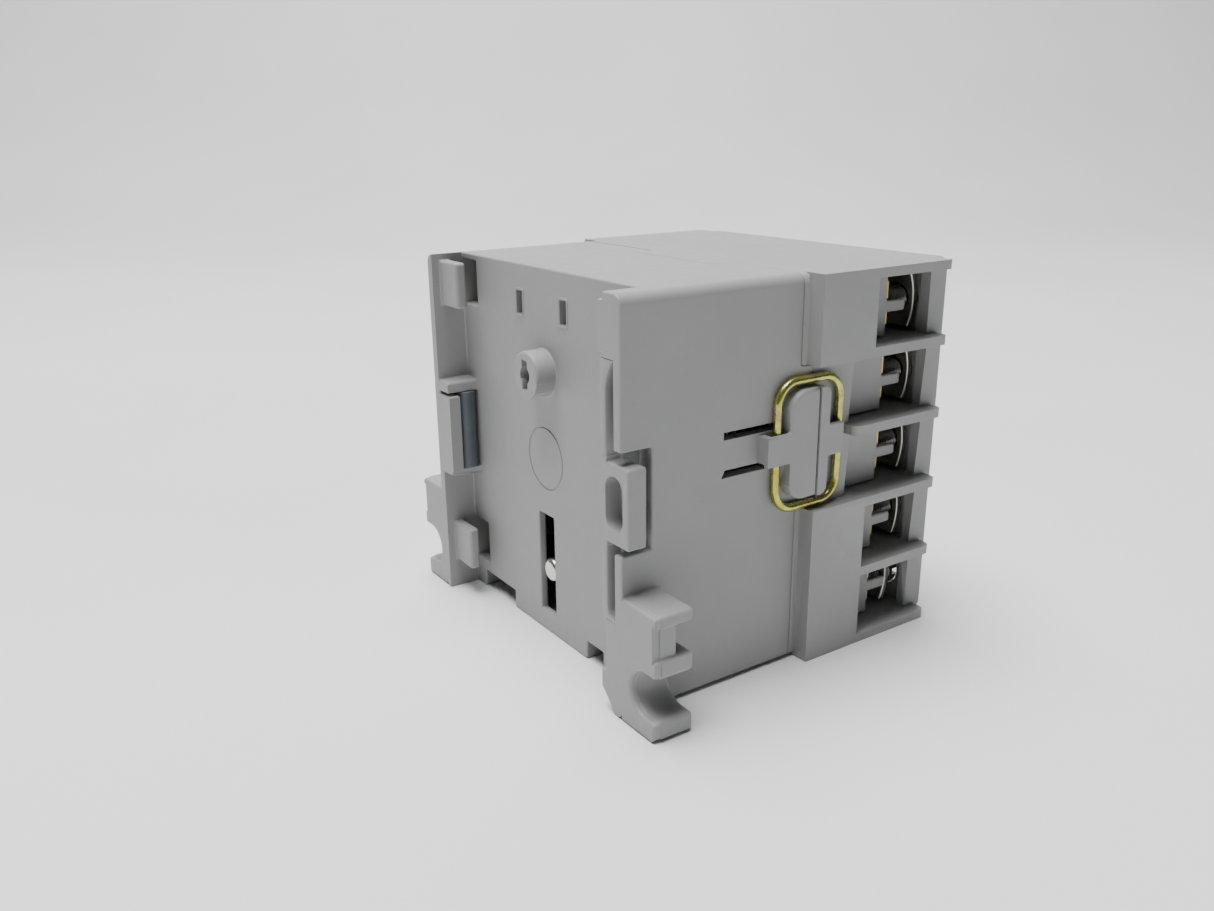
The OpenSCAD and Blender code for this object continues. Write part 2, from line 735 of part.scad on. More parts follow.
module terminal_screw(e, i) color("silver") at_end(e) {
    head = head_x(i);
    top = head + head_h;
    difference() {
        union() {
            x_cylinder(head - shank_l, head + 0.1, screw_y, bay_z(i), screw_r);
            x_cylinder(head, top, screw_y, bay_z(i), head_r);
        }
        slot = 0.4;
        cross = 1.4;
        box([top - 1, screw_y - head_r - 1, bay_z(i) - slot],
            [top + 1, screw_y + head_r + 1, bay_z(i) + slot]);
        box([top - 1, screw_y - slot, bay_z(i) - cross], [top + 1, screw_y + slot, bay_z(i) + cross]);
    }
}

base_housing();
rail_latch();
rail_spring_pad();
front_housing();
front_cover();
label_plate();
fixed_core();
core_buffers();
coil_bobbin();
coil_winding();
armature();
armature_pin();
contact_carrier();
return_springs();
contact_springs();
moving_tips();
fixed_tips();
for (e = ends) {
    retaining_ring(e);
    shading_ring(e);
    coil_terminal(e);
}
for (p = poles)
    contact_bridge(p);
for (e = ends, p = poles)
    fixed_contact(e, p);
for (e = ends, i = [0 : bays - 1]) {
    terminal_clamp(e, i);
    terminal_screw(e, i);
}
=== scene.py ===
import json
import math

import bmesh
import bpy
from mathutils import Matrix, Vector
from mathutils.kdtree import KDTree


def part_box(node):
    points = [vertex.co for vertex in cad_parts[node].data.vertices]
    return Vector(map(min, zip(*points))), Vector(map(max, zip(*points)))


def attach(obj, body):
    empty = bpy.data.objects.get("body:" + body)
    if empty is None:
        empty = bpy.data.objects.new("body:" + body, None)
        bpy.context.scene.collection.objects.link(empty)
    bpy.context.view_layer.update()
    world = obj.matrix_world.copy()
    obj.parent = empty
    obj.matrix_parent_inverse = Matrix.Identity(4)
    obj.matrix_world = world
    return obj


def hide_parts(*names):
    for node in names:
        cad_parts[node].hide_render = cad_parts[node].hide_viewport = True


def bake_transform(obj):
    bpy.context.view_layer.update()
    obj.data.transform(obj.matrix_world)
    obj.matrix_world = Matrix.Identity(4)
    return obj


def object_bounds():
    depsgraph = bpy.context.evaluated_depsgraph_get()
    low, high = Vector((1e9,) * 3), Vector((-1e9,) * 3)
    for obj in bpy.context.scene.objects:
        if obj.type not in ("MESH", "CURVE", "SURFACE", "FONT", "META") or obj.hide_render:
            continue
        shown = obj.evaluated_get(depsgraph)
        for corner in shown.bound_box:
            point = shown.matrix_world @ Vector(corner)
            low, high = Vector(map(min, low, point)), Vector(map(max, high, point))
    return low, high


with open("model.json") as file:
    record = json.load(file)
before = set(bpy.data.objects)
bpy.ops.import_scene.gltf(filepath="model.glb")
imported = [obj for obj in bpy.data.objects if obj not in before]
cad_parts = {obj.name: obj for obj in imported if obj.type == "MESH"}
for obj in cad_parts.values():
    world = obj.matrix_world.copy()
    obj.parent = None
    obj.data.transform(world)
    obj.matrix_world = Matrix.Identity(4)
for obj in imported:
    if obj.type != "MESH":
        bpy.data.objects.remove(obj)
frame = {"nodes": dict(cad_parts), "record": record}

CAD_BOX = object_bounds()
MM = 0.001
NODES = frame["nodes"]
RECORD = frame["record"]
BODY = {n: body for body, names in RECORD["behaviour"]["bodies"].items() for n in names}
ENDS = ("near", "far")
BAYS = range(5)
POLES = range(1, 5)

HOUSING = (0.30, 0.305, 0.298)
PAD = (0.085, 0.10, 0.115)
# The screw tone is painted shade: the steel is kept dark so the screws stand in for the shade inside the
# terminal bays.
SCREW_PAINTED_SHADE = (0.20, 0.20, 0.19)
# Sizes of the pieces, in mm
RING_CORNER = 3.0
HEAD_H = 1.8
SLOT_D = 1.0
SHANK_R = 1.45
THREAD_PITCH = 0.5
MAGNET_PLATES = 20
# Places on the rear wall, in mm along Y and Z
BOSS = (0.8, 10.6)
VENT_YS = (6.0, -3.6)
VENT_Z = 18.0
VENT_HALF = 1.4

# ---- Camera, floor and light ----

CAMERA_AT = Vector((-58.80, -99.74, 37.37)) * MM
CAMERA_AZIMUTH = math.radians(-33.80)
CAMERA_ELEVATION = math.radians(17.58)
CAMERA_ROLL = math.radians(-0.65)
CAMERA_LENS = 30.81


def add_camera():
    data = bpy.data.cameras.new("camera")
    data.sensor_width = 36
    data.lens = CAMERA_LENS
    data.clip_start = 0.005
    camera = bpy.data.objects.new("camera", data)
    bpy.context.scene.collection.objects.link(camera)
    forward = Vector((-math.sin(CAMERA_AZIMUTH) * math.cos(CAMERA_ELEVATION),
                      math.cos(CAMERA_AZIMUTH) * math.cos(CAMERA_ELEVATION),
                      -math.sin(CAMERA_ELEVATION)))
    turn = forward.to_track_quat("-Z", "Y").to_matrix() @ Matrix.Rotation(CAMERA_ROLL, 3, "Z")
    camera.matrix_world = Matrix.Translation(CAMERA_AT) @ turn.to_4x4()
    bpy.context.scene.camera = camera


def area_light(name, at, aim, size, watts):
    data = bpy.data.lights.new(name, "AREA")
    data.shape = "RECTANGLE"
    data.size, data.size_y = size
    data.energy = watts
    lamp = bpy.data.objects.new(name, data)
    bpy.context.scene.collection.objects.link(lamp)
    lamp.location = at
    lamp.rotation_euler = (Vector(aim) - Vector(at)).to_track_quat("-Z", "Y").to_euler()


def add_light():
    world = bpy.data.worlds.new("studio")
    bpy.context.scene.world = world
    world.use_nodes = True
    sky = world.node_tree.nodes["Background"]
    sky.inputs["Color"].default_value = (0.93, 0.96, 1.0, 1)
    sky.inputs["Strength"].default_value = 0.085
    area_light("key", (-0.08, 0.09, 0.84), (0.0, 0.02, 0), (0.6, 0.5), 17.6)
    area_light("back", (0.15, 0.30, 0.75), (0.40, 0.75, 0.25), (0.6, 0.3), 0.2)


def add_backdrop():
    """A pale floor that curves up behind the object."""
    floor_z = CAD_BOX[0].z
    view = Vector((-math.sin(CAMERA_AZIMUTH), math.cos(CAMERA_AZIMUTH), 0))
    side = view.cross(Vector((0, 0, 1)))
    bend, flat, half = 0.35, 0.42, 1.6
    profile = [(-1.0, 0.0), (flat, 0.0)]
    profile += [(flat + bend * math.sin(a), bend * (1 - math.cos(a)))
                for a in (math.pi / 2 * k / 24 for k in range(1, 25))]
    profile.append((flat + bend, 1.6))
    bm = bmesh.new()
    rows = []
    for along, up in profile:
        rows.append([bm.verts.new(view * along + side * s + Vector((0, 0, floor_z + up)))
                     for s in (-half, half)])
    for a, b in zip(rows, rows[1:]):
        bm.faces.new((a[0], a[1], b[1], b[0]))
    floor = add_object("backdrop", bm)
    for face in floor.data.polygons:
        face.use_smooth = True
    floor.data.materials.append(paper_material())


# ---- Rounded edges ----

def chains(edges):
    """For each sharp edge, the smooth run of edges that it belongs to; and the sharp edges at each vertex."""
    leader = {e: e for e in edges}

    def top(e):
        while leader[e] != e:
            e = leader[e]
        return e

    at = {}
    for e in edges:
        for v in e.verts:
            at.setdefault(v, []).append(e)
    for v, pair in at.items():
        if len(pair) == 2:
            a, b = (e.other_vert(v).co - v.co for e in pair)
            if a.angle(-b, 0) < math.radians(35):
                leader[top(pair[0])] = top(pair[1])
    return {e: top(e) for e in edges}, at


def edge_widths(bm, wanted, widest, share=0.42):
    """The width each sharp edge can be rounded by: the wanted one, or less where another edge is close."""
    edges = [e for e in bm.edges if e.is_manifold and e.calc_face_angle() > math.radians(35)]
    run, at = chains(edges)
    points = []
    for e in edges:
        a, b = e.verts[0].co, e.verts[1].co
        n = max(1, math.ceil((b - a).length / (0.15 * MM)))
        points += [(a.lerp(b, k / n), e) for k in range(n + 1)]
    tree = KDTree(len(points))
    for i, (p, e) in enumerate(points):
        tree.insert(p, i)
    tree.balance()
    reach = widest / share
    room = dict.fromkeys(edges, reach)
    for p, e in points:
        for _, i, distance in tree.find_range(p, reach):
            f = points[i][1]
            if run[f] != run[e] and not set(e.verts) & set(f.verts):
                room[e] = min(room[e], distance)
    for e in edges:
        along = (e.verts[1].co - e.verts[0].co).normalized()
        for v in e.verts:
            for f in at[v]:
                if run[f] != run[e]:
                    turn = abs((f.other_vert(v).co - v.co).normalized().dot(along))
                    room[e] = min(room[e], f.calc_length() if turn < 0.97 else 0.02 * MM)
    return {e: min(wanted((e.verts[0].co + e.verts[1].co) / (2 * MM)) * MM, share * room[e]) for e in edges}


def folds(obj):
    """Where the evaluated mesh folds over itself."""
    bm = bmesh.new()
    bm.from_mesh(obj.evaluated_get(bpy.context.evaluated_depsgraph_get()).data)
    found = [(e.verts[0].co + e.verts[1].co) / 2 for e in bm.edges
             if e.is_manifold and e.calc_face_angle() > math.radians(120)]
    bm.free()
    return found


def rounded_cad(node, wanted, widest, segments=3):
    """A copy of a node's mesh with rounded edges, rounded less wherever the rounding would fold over."""
    bm = bmesh.new()
    bm.from_mesh(NODES[node].data)
    bmesh.ops.remove_doubles(bm, verts=bm.verts, dist=1e-6)
    bmesh.ops.dissolve_limit(bm, angle_limit=math.radians(1), verts=bm.verts, edges=bm.edges)
    layer = bm.edges.layers.float.new("bevel_weight_edge")
    for e, width in edge_widths(bm, wanted, widest * MM).items():
        e[layer] = width / (widest * MM)
    obj = add_object(node + "_piece", bm)
    bevel = obj.modifiers.new("bevel", "BEVEL")
    bevel.limit_method = "WEIGHT"
    bevel.width = widest * MM
    bevel.segments = segments
    bevel.use_clamp_overlap = False
    bevel.loop_slide = False
    bevel.harden_normals = False
    weights = obj.data.attributes["bevel_weight_edge"].data
    for attempt in range(7):
        bpy.context.view_layer.update()
        bad = folds(obj)
        if not bad:
            break
        tree = KDTree(len(bad))
        for i, p in enumerate(bad):
            tree.insert(p, i)
        tree.balance()
        for e in obj.data.edges:
            if weights[e.index].value > 0:
                a, b = (obj.data.vertices[v].co for v in e.vertices)
                n = max(1, math.ceil((b - a).length / (0.5 * MM)))
                if min(tree.find(a.lerp(b, k / n))[2] for k in range(n + 1)) < 0.45 * MM:
                    weights[e.index].value *= 0.5 if attempt < 5 else 0.0
        obj.data.update()
    return obj


# ---- Mesh helpers ----

def add_object(name, bm):
    bmesh.ops.recalc_face_normals(bm, faces=bm.faces)
    mesh = bpy.data.meshes.new(name)
    bm.to_mesh(mesh)
    bm.free()
    obj = bpy.data.objects.new(name, mesh)
    bpy.context.scene.collection.objects.link(obj)
    return obj


def shade(obj, sharp=50):
    for face in obj.data.polygons:
        face.use_smooth = True
    obj.data.set_sharp_from_angle(angle=math.radians(sharp))
    normals = obj.modifiers.new("normals", "WEIGHTED_NORMAL")
    normals.keep_sharp = True
    return obj


def finish_piece(obj, material, node, moves=True):
    """The piece stands for the node: it rides on its body and takes its material slot."""
    obj.data.materials.append(material)
    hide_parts(node)
    if moves:
        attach(obj, BODY[node])
    return obj


def moulded(node, material, width, segments=3, wanted=None, widest=None):
    obj = rounded_cad(node, wanted or (lambda p: width), widest or width, segments)
    return finish_piece(shade(obj), material, node)


def parting_step(obj, x, depth, at_lug):
    """Draws in the layer behind x a little where at_lug holds, as where two halves of a mould meet."""
    obj.data = bpy.data.meshes.new_from_object(obj.evaluated_get(bpy.context.evaluated_depsgraph_get()))
    obj.modifiers.clear()
    bm = bmesh.new()
    bm.from_mesh(obj.data)
    for plane in (x, x - 0.03):
        faces = [f for f in bm.faces if any(at_lug(v.co / MM) for v in f.verts)]
        geometry = faces + list({e for f in faces for e in f.edges}) + list({v for f in faces for v in f.verts})
        bmesh.ops.bisect_plane(bm, geom=geometry, plane_co=(plane * MM, 0, 0), plane_no=(1, 0, 0))
    bm.normal_update()
    for v, way in [(v, v.normal.copy()) for v in bm.verts if at_lug(v.co / MM) and v.co.x < (x - 0.02) * MM]:
        v.co -= Vector((0, way.y, way.z)) * depth * MM
    bm.to_mesh(obj.data)
    bm.free()
    return obj


def tube(bm, path, radius, sides=14, closed=False):
    """A round bar along a list of points."""
    count = len(path)
    rings = []
    side = None
    for i, at in enumerate(path):
        ahead = path[(i + 1) % count] if closed or i + 1 < count else at
        behind = path[i - 1] if closed or i > 0 else at
        along = (ahead - behind).normalized()
        if side is None:
            side = along.orthogonal()
        side = (side - along * side.dot(along)).normalized()
        up = along.cross(side)
        rings.append([bm.verts.new(at + radius * (side * math.cos(a) + up * math.sin(a)))
                      for a in (2 * math.pi * k / sides for k in range(sides))])
    for a, b in zip(rings, rings[1:]):
        for k in range(sides):
            n = (k + 1) % sides
            bm.faces.new((a[k], a[n], b[n], b[k]))
    if closed:
        # The last ring joins the first with the least twist
        last, first = rings[-1], rings[0]
        shift = min(range(sides), key=lambda s: (last[0].co - first[s].co).length)
        for k in range(sides):
            n = (k + 1) % sides
            bm.faces.new((last[k], last[n], first[(n + shift) % sides], first[(k + shift) % sides]))
    else:
        bm.faces.new(rings[0])
        bm.faces.new(rings[-1])


def spring_path(x0, x1, radius, wire, turns, centre, steps=28):
    """The wire's line of a compression spring along X, with one closed turn at each end, in mm."""
    x0, x1 = x0 + wire, x1 - wire
    closed = 2.05 * wire
    path = []
    for i in range(steps * turns + 1):
        t = i / steps
        if t < 1:
            x = x0 + closed * t
        elif t < turns - 1:
            x = x0 + closed + (x1 - x0 - 2 * closed) * (t - 1) / (turns - 2)
        else:
            x = x1 - closed * (turns - t)
        a = 2 * math.pi * t
        path.append(Vector((x, centre[0] + radius * math.cos(a), centre[1] + radius * math.sin(a))) * MM)
    return path


def rounded_loop(half_a, half_b, radius, steps):
    """A rounded rectangle as (a, b) points."""
    points = []
    for k in range(4):
        centre = ((half_a - radius) * (1 if k in (0, 3) else -1), (half_b - radius) * (1 if k < 2 else -1))
        for i in range(steps + 1):
            t = math.pi / 2 * (k + i / steps)
            points.append((centre[0] + radius * math.cos(t), centre[1] + radius * math.sin(t)))
    return points


def spin(bm, rows, sides, at):
    """Joins rings of (x, radius of angle) about a line along X through at = (y, z), in mm."""
    rings = [[bm.verts.new(Vector((x, at[0] + r(a) * math.cos(a), at[1] + r(a) * math.sin(a))) * MM)
              for a in (2 * math.pi * k / sides for k in range(sides))] for x, r in rows]
    for a, b in zip(rings, rings[1:]):
        for k in range(sides):
            n = (k + 1) % sides
            bm.faces.new((a[k], a[n], b[n], b[k]))
    bm.faces.new(rings[0])
    bm.faces.new(rings[-1])


def block(bm, lo, hi):
    """Adds a box, in mm."""
    made = bmesh.ops.create_cube(bm, size=1)["verts"]
    for v in made:
        v.co = Vector([(a + b) / 2 + c * (b - a) for a, b, c in zip(lo, hi, v.co)]) * MM
    return made


def cut(obj, tool):
    """Takes the tool's shape out of the object for good."""
    hole = obj.modifiers.new("cut", "BOOLEAN")
    hole.operation = "DIFFERENCE"
    hole.solver = "EXACT"
    hole.object = tool
    bpy.context.view_layer.update()
    obj.data = bpy.data.meshes.new_from_object(obj.evaluated_get(bpy.context.evaluated_depsgraph_get()))
    obj.modifiers.clear()
    bpy.data.objects.remove(tool)
    return obj


def limits(node):
    """The node's lowest and highest corner, in mm."""
    return [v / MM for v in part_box(node)]


# ---- Materials ----

class Graph:
    """A node material, built from its Principled shader backwards."""

    def __init__(self, name):
        self.material = bpy.data.materials.new(name)
        self.material.use_nodes = True
        self.tree = self.material.node_tree
        self.shader = self.tree.nodes["Principled BSDF"]
        self.place = self.add("ShaderNodeTexCoord").outputs["Object"]

    def add(self, kind, **settings):
        node = self.tree.nodes.new(kind)
        for key, value in settings.items():
            setattr(node, key, value)
        return node

    def link(self, source, target):
        self.tree.links.new(source, target)

    def noise(self, scale, detail=3.0, roughness=0.5, stretch=None):
        node = self.add("ShaderNodeTexNoise")
        node.inputs["Scale"].default_value = scale
        node.inputs["Detail"].default_value = detail
        node.inputs["Roughness"].default_value = roughness
        if stretch is None:
            self.link(self.place, node.inputs["Vector"])
        else:
            mapping = self.add("ShaderNodeMapping")
            mapping.inputs["Scale"].default_value = stretch
            self.link(self.place, mapping.inputs["Vector"])
            self.link(mapping.outputs["Vector"], node.inputs["Vector"])
        return node.outputs["Fac"]

    def ramp(self, fac, *stops):
        """Colours along fac; each stop is (position, (r, g, b))."""
        node = self.add("ShaderNodeValToRGB")
        elements = node.color_ramp.elements
        while len(elements) < len(stops):
            elements.new(0.5)
        for element, (at, colour) in zip(elements, stops):
            element.position = at
            element.color = (*colour, 1)
        self.link(fac, node.inputs["Fac"])
        return node.outputs["Color"]

    def spread(self, fac, low, high, start=0.3, end=0.7):
        node = self.add("ShaderNodeMapRange")
        for key, value in (("From Min", start), ("From Max", end), ("To Min", low), ("To Max", high)):
            node.inputs[key].default_value = value
        self.link(fac, node.inputs["Value"])
        return node.outputs["Result"]

    def mix(self, fac, a, b):
        node = self.add("ShaderNodeMix", data_type="RGBA", blend_type="MIX")
        for source, socket in ((fac, node.inputs[0]), (a, node.inputs[6]), (b, node.inputs[7])):
            if isinstance(source, (int, float)):
                socket.default_value = source
            elif isinstance(source, tuple):
                socket.default_value = (*source, 1)
            else:
                self.link(source, socket)
        return node.outputs[2]

    def bump(self, height, distance, strength=1.0, below=None):
        node = self.add("ShaderNodeBump")
        node.inputs["Strength"].default_value = strength
        node.inputs["Distance"].default_value = distance
        self.link(height, node.inputs["Height"])
        if below is not None:
            self.link(below, node.inputs["Normal"])
        return node.outputs["Normal"]

    def set(self, **sockets):
        for name, value in sockets.items():
            socket = self.shader.inputs[name.replace("_", " ")]
            if isinstance(value, (int, float)):
                socket.default_value = value
            elif isinstance(value, tuple):
                socket.default_value = (*value, 1)
            else:
                self.link(value, socket)
        return self


def scaled(colour, factor):
    return tuple(c * factor for c in colour)


def paper_material():
    g = Graph("backdrop_paper")
    cloud = g.noise(9, 3)
    colour = g.ramp(cloud, (0.3, (0.78, 0.78, 0.785)), (0.7, (0.83, 0.83, 0.835)))
    g.set(Base_Color=colour, Roughness=0.7, Normal=g.bump(g.noise(2500, 2), 0.00003, 0.3))
    return g.material


def plastic_material(name, tone, rough=0.46, grain=1.0):
    """Moulded thermoplastic: spark-eroded grain, faint flow clouds, specks and a little dust."""
    g = Graph(name)
    cloud = g.noise(90, 4, 0.55)
    speck = g.noise(2600, 2, 0.6)
    dust = g.noise(700, 5, 0.7)
    colour = g.ramp(cloud, (0.25, scaled(tone, 0.95)), (0.75, scaled(tone, 1.03)))
    colour = g.mix(g.spread(speck, 0.0, 0.22, 0.62, 0.75), colour, scaled(tone, 0.72))
    colour = g.mix(g.spread(dust, 0.0, 0.25, 0.60, 0.78), colour, scaled(tone, 1.25))
    rough_map = g.spread(dust, rough - 0.06, rough + 0.12)
    fine = g.bump(g.noise(7000, 2, 0.6), 0.00002 * grain, 0.45)
    normal = g.bump(g.noise(300, 3), 0.00008, 0.10, fine)
    g.set(Base_Color=colour, Roughness=rough_map, Normal=normal, Specular_IOR_Level=0.45)
    return g.material


def rubber_material(name, tone, rough):
    """Matt rubber with a faint bloom."""
    g = Graph(name)
    colour = g.ramp(g.noise(160, 4), (0.3, scaled(tone, 0.86)), (0.75, scaled(tone, 1.18)))
    colour = g.mix(g.spread(g.noise(1100, 4, 0.7), 0.0, 0.35, 0.60, 0.8), colour, scaled(tone, 2.0))
    normal = g.bump(g.noise(4200, 2), 0.00002, 0.5)
    g.set(Base_Color=colour, Roughness=g.spread(g.noise(500), rough - 0.08, rough + 0.1), Normal=normal)
    return g.material


def metal_material(name, tone, rough, stretch=(1, 1, 1), second=None, scratches=0.35):
    """Plated or rolled metal: cloudy tone, and drawn or rolled lines along the small axis of stretch."""
    g = Graph(name)
    cloud = g.noise(240, 4, 0.6)
    lines = g.noise(2400, 3, 0.6, stretch)
    colour = g.ramp(cloud, (0.3, scaled(tone, 0.88)), (0.7, second or scaled(tone, 1.08)))
    colour = g.mix(g.spread(lines, 0.0, 0.3, 0.45, 0.75), colour, scaled(tone, 0.78))
    g.set(Base_Color=colour, Metallic=1.0, Normal=g.bump(lines, 0.00002, scratches),
          Roughness=g.spread(cloud, rough - 0.05, rough + 0.1))
    return g.material


def chromate_material():
    """Yellow zinc chromate: olive yellow with brown and pink bands that change along the wire."""
    g = Graph("chromate_wire")
    bands = g.noise(210, 4, 0.62)
    fine = g.noise(900, 4, 0.65)
    colour = g.ramp(bands, (0.30, (0.22, 0.16, 0.04)), (0.42, (0.40, 0.38, 0.07)), (0.52, (0.50, 0.53, 0.14)),
                    (0.62, (0.46, 0.32, 0.16)), (0.74, (0.56, 0.55, 0.24)))
    colour = g.mix(g.spread(fine, 0.0, 0.5, 0.5, 0.72), colour, (0.26, 0.25, 0.04))
    g.set(Base_Color=colour, Metallic=0.9, Roughness=g.spread(fine, 0.16, 0.36),
          Normal=g.bump(fine, 0.00003, 0.35))
    return g.material


def laminated_material():
    """Stamped core steel: dark grey, with darker and slightly rusty patches spread by noise."""
    g = Graph("core_steel")
    edge = g.noise(300, 5, 0.65)
    colour = g.ramp(edge, (0.3, (0.16, 0.16, 0.165)), (0.6, (0.30, 0.30, 0.30)), (0.8, (0.30, 0.20, 0.13)))
    g.set(Base_Color=colour, Metallic=0.85, Roughness=g.spread(g.noise(1200, 3), 0.32, 0.6),
          Normal=g.bump(g.noise(2500, 3), 0.00003, 0.3))
    return g.material


def enamel_material():
    """Enamelled copper wire."""
    g = Graph("enamel_wire")
    colour = g.ramp(g.noise(700, 4, 0.6), (0.3, (0.33, 0.10, 0.03)), (0.7, (0.50, 0.19, 0.06)))
    g.set(Base_Color=colour, Metallic=0.75, Roughness=g.spread(g.noise(300), 0.2, 0.36), Coat_Weight=0.5,
          Normal=g.bump(g.noise(1800, 2), 0.00002, 0.2))
    return g.material


def label_material():
    """Plain pale label film."""
    g = Graph("label_film")
    colour = g.ramp(g.noise(1400, 4), (0.35, (0.70, 0.70, 0.69)), (0.65, (0.76, 0.76, 0.745)))
    g.set(Base_Color=colour, Roughness=g.spread(g.noise(600, 3), 0.28, 0.42),
          Normal=g.bump(g.noise(900, 3), 0.00002, 0.25))
    return g.material


# ---- Pieces ----

def add_housings():
    near_y, far_y = limits("retaining_ring_near")[0].y + 1.0, limits("retaining_ring_far")[1].y - 1.0

    def base_width(p):
        outside = p.y < near_y - 0.35 or p.y > far_y + 0.35
        if outside and p.x < 1 and p.z < -8:
            return 0.5
        if outside and 15 < p.x < 22.5:
            return 0.42
        if p.x < -1.7 and 15.8 < p.y < far_y - 1.3:
            return 0.42
        if p.x < -2.4 and math.hypot(p.y - BOSS[0], p.z - BOSS[1]) < 3:
            return 0.38
        return 0.22

    def at_lug(p):
        return (p.y < near_y - 0.15 or p.y > far_y + 0.15) and p.z < -8

    def front_width(p):
        depth = max(near_y - p.y, p.y - far_y)
        if depth > 0.2 and p.x > 26.2:
            return 0.45
        if depth > 1.2 and p.x > 22:
            return 0.38
        if -2.4 < depth < -1.4 and 33 < p.x < 38:
            return 0.4
        return 0.24

    grey = plastic_material("housing_plastic", HOUSING)
    base = parting_step(rounded_cad("base_housing", base_width, 0.5), -3.35, 0.13, at_lug)
    finish_piece(shade(base), grey, "base_housing")
    bm = bmesh.new()
    for y in VENT_YS:
        loop = rounded_loop(0.85, VENT_HALF + 0.15, 0.3, 4)
        tube(bm, [Vector((0.06, y + a, VENT_Z + b)) * MM for a, b in loop], 0.17 * MM, 10, closed=True)
    finish_piece(shade(add_object("vent_rims", bm)), grey, "base_housing")
    moulded("front_housing", grey, 0.24, 3, front_width, 0.45)
    moulded("front_cover", plastic_material("cover_plastic", scaled(HOUSING, 1.08), 0.42), 0.25)
    moulded("label_plate", label_material(), 0.12)
    add_latch(grey)
    moulded("rail_spring_pad", rubber_material("pad_rubber", PAD, 0.5), 0.15)
    moulded("core_buffers", rubber_material("buffer_rubber", (0.02, 0.02, 0.022), 0.6), 0.12)


def add_latch(material):
    """The block rides on the latch; the beam's two arms are fixed pieces between it and the housing."""
    (x0, _, z0), (_, y1, z1) = limits("rail_latch")
    block_z, foot_y = (-3.0, 5.6), (-18.55, -17.57)
    step_x, foot_x, outer_y = -2.52, -0.3, -18.0
    obj = rounded_cad("rail_latch", lambda p: 0.4 if p.y < outer_y - 0.1 else 0.16, 0.4, 4)
    bm = bmesh.new()
    bm.from_mesh(obj.evaluated_get(bpy.context.evaluated_depsgraph_get()).data)
    bpy.data.objects.remove(obj)
    for side, z in ((-1, block_z[0]), (1, block_z[1])):
        everything = bm.verts[:] + bm.edges[:] + bm.faces[:]
        made = bmesh.ops.bisect_plane(bm, geom=everything, plane_co=(0, 0, (z + side * 0.6) * MM),
                                      plane_no=(0, 0, side), clear_outer=True)
        rim = [e for e in made["geom_cut"] if isinstance(e, bmesh.types.BMEdge)]
        bmesh.ops.triangle_fill(bm, edges=rim, use_beauty=True)
    finish_piece(shade(add_object("latch_block", bm)), material, "rail_latch")
    for name, start, end in (("latch_arm_top", block_z[1] + 0.55, z1 + 0.05),
                             ("latch_arm_bottom", block_z[0] - 0.55, z0 - 0.05)):
        way = 1 if end > start else -1
        taper = 3.4 if way > 0 else 1.5
        bm = bmesh.new()
        rows = []
        steps = 40
        for k in range(steps + 1):
            z = start + (end - start) * k / steps
            near_end = max(0.0, 1 - abs(end - z) / taper)
            flare = 1.3 * (near_end ** 2 if way > 0 else 1 - math.sqrt(max(0.0, 1 - near_end ** 2)))
            outer = outer_y - flare
            r = 0.14
            outline = [(x0 + r, outer), (step_x, outer), (step_x, foot_y[0]), (foot_x - r, foot_y[0]),
                       (foot_x, foot_y[0] + r), (foot_x, foot_y[1] - r), (foot_x - r, foot_y[1]),
                       (step_x, foot_y[1]), (step_x, y1 - r), (step_x - r, y1), (x0 + r, y1),
                       (x0 + 0.04, y1 - 0.05), (x0, y1 - r), (x0, outer + r), (x0 + 0.04, outer + 0.05)]
            rows.append([bm.verts.new(Vector((x, min(y, y1), z)) * MM) for x, y in outline])
        count = len(rows[0])
        for a, b in zip(rows, rows[1:]):
            for i in range(count):
                n = (i + 1) % count
                bm.faces.new((a[i], a[n], b[n], b[i]))
        bm.faces.new(rows[0])
        bm.faces.new(rows[-1])
        arm = add_object(name, bm)
        shade(arm, 40)
        finish_piece(arm, material, "rail_latch", moves=False)
        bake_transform(arm)


def add_rings():
    wire = chromate_material()
    for end in ENDS:
        lo, hi = limits(f"retaining_ring_{end}")
        r = (hi.y - lo.y) / 2
        centre = (lo + hi) / 2
        loop = rounded_loop((hi.x - lo.x) / 2 - r, (hi.z - lo.z) / 2 - r, RING_CORNER - r, 12)
        path = [Vector((centre.x + a, centre.y, centre.z + c)) * MM for a, c in loop]
        bm = bmesh.new()
        tube(bm, path, r * MM, 20, closed=True)
        finish_piece(shade(add_object(f"retaining_ring_{end}_piece", bm)), wire, f"retaining_ring_{end}")


def laminate(node, material, plates):
    """The node's stack, cut into plates across Z."""
    (_, _, z0), (_, _, z1) = limits(node)
    pitch = (z1 - z0) / plates
    whole = bmesh.new()
    for k in range(plates):
        bm = bmesh.new()
        bm.from_mesh(NODES[node].data)
        for side, z in ((-1, z0 + pitch * k + 0.02), (1, z0 + pitch * (k + 1) - 0.02)):
            everything = bm.verts[:] + bm.edges[:] + bm.faces[:]
            made = bmesh.ops.bisect_plane(bm, geom=everything, plane_co=(0, 0, z * MM), plane_no=(0, 0, side),
                                          clear_outer=True)
            rim = [e for e in made["geom_cut"] if isinstance(e, bmesh.types.BMEdge)]
            bmesh.ops.triangle_fill(bm, edges=rim, use_beauty=True)
        mesh = bpy.data.meshes.new("plate")
        bm.to_mesh(mesh)
        bm.free()
        whole.from_mesh(mesh)
        bpy.data.meshes.remove(mesh)
    finish_piece(shade(add_object(node + "_piece", whole), 30), material, node)


